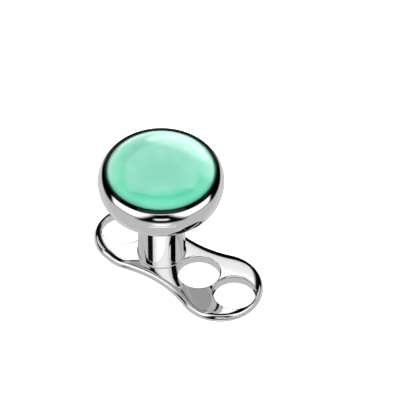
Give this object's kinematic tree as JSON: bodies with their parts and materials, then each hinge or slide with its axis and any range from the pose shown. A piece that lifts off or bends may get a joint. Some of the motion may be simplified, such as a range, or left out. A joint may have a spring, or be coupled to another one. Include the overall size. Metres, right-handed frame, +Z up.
{
  "type": "dermal anchor with cabochon top",
  "caption": "Polished steel dermal anchor: a holed, waisted base plate with an upright stem, and a round mint cabochon top that screws onto it.",
  "frame": {"origin": "on the stem's axis at the underside of the base plate, which rests on a surface", "axes": "+Z up the stem towards the stone, +X towards the end of the plate with two holes"},
  "size_m": [0.0065, 0.0042, 0.0052],
  "materials": {
    "base_steel": "mirror polished",
    "setting_steel": "mirror polished",
    "stone": "glossy translucent"
  },
  "bodies": {
    "base": {"anchor_base": "base_steel"},
    "top": {"setting": "setting_steel", "stone": "stone"}
  },
  "joints": [
    {"name": "top_lift", "type": "slide", "parent": "base", "child": "top", "axis": [0, 0, 1], "range_m": [0, 0.0032]}
  ]
}
